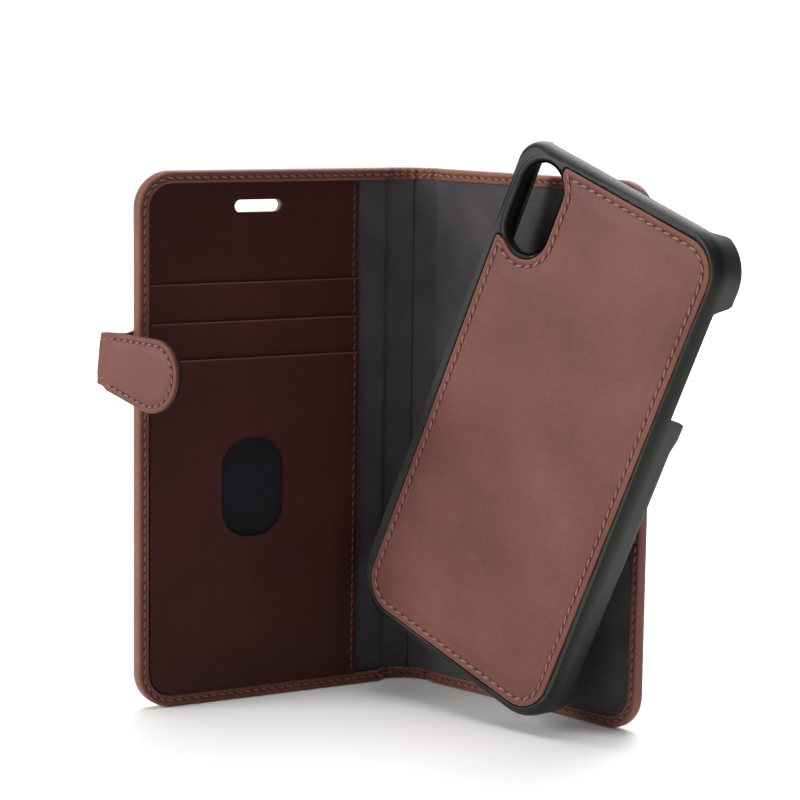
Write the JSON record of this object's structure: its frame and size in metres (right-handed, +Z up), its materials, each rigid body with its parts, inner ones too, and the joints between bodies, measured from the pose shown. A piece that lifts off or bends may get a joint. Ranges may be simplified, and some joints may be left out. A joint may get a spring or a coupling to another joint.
{
  "type": "phone wallet case",
  "caption": "Folding leather phone wallet standing open, with card pockets, a magnetic clasp strap and a separate phone shell leaning in front of its back cover.",
  "frame": {"origin": "foot of the spine's outer face, at the middle of its curve, on the surface that the wallet stands on", "axes": "+Z up along the folds, -Y out of the open wallet, +X towards the back cover and the phone shell, -X towards the front cover"},
  "size_m": [0.176, 0.0823, 0.1607],
  "materials": {
    "outer_leather": "smooth waxed reddish-brown leather, low sheen",
    "pocket_leather": "smooth dark brown leather",
    "lining": "charcoal microfibre, matte",
    "board": "grey pressed paperboard, matte",
    "magnet": "nickel-plated magnet",
    "plate": "rolled steel sheet",
    "shell_rubber": "soft-touch moulded black plastic"
  },
  "bodies": {
    "back_cover": {"back_cover_leather": "outer_leather", "back_cover_board": "board", "back_lining": "lining", "dock_magnets": "magnet", "clasp_keeper": "magnet"},
    "spine": {"spine_leather": "outer_leather", "spine_lining": "lining"},
    "front_cover": {"front_cover_leather": "outer_leather", "front_cover_board": "board", "front_lining": "lining", "pocket_backing": "pocket_leather", "card_pocket_upper": "pocket_leather", "card_pocket_middle": "pocket_leather", "card_pocket_front": "pocket_leather", "pocket_lining": "lining", "clasp_base": "outer_leather"},
    "clasp_bridge": {"clasp_bridge": "outer_leather"},
    "clasp_tab": {"clasp_tab": "outer_leather", "clasp_tab_lining": "lining", "clasp_magnet": "magnet"},
    "phone_shell": {"shell_body": "shell_rubber", "shell_plate": "plate", "shell_leather": "outer_leather", "shell_lining": "lining"}
  },
  "joints": [
    {"name": "back_fold", "type": "hinge", "parent": "back_cover", "child": "spine", "pos_m": [0.00834, -0.00333, 0], "axis": [0, 0, 1], "range_deg": [-60, 8]},
    {"name": "front_fold", "type": "hinge", "parent": "spine", "child": "front_cover", "pos_m": [-0.00834, -0.00333, 0], "axis": [0, 0, 1], "range_deg": [-95, 16]},
    {"name": "clasp_root", "type": "hinge", "parent": "front_cover", "child": "clasp_bridge", "pos_m": [-0.08044, -0.05597, 0.10065], "axis": [-0.0697, -0.0523, -0.9962], "range_deg": [0, 100]},
    {"name": "clasp_tip", "type": "hinge", "parent": "clasp_bridge", "child": "clasp_tab", "pos_m": [-0.07621, -0.05993, 0.10057], "axis": [-0.0697, -0.0523, -0.9962], "range_deg": [-50, 10]},
    {"name": "shell_lift", "type": "slide", "parent": "back_cover", "child": "phone_shell", "axis": [0, 0, 1], "range_m": [0, 0.16]}
  ]
}
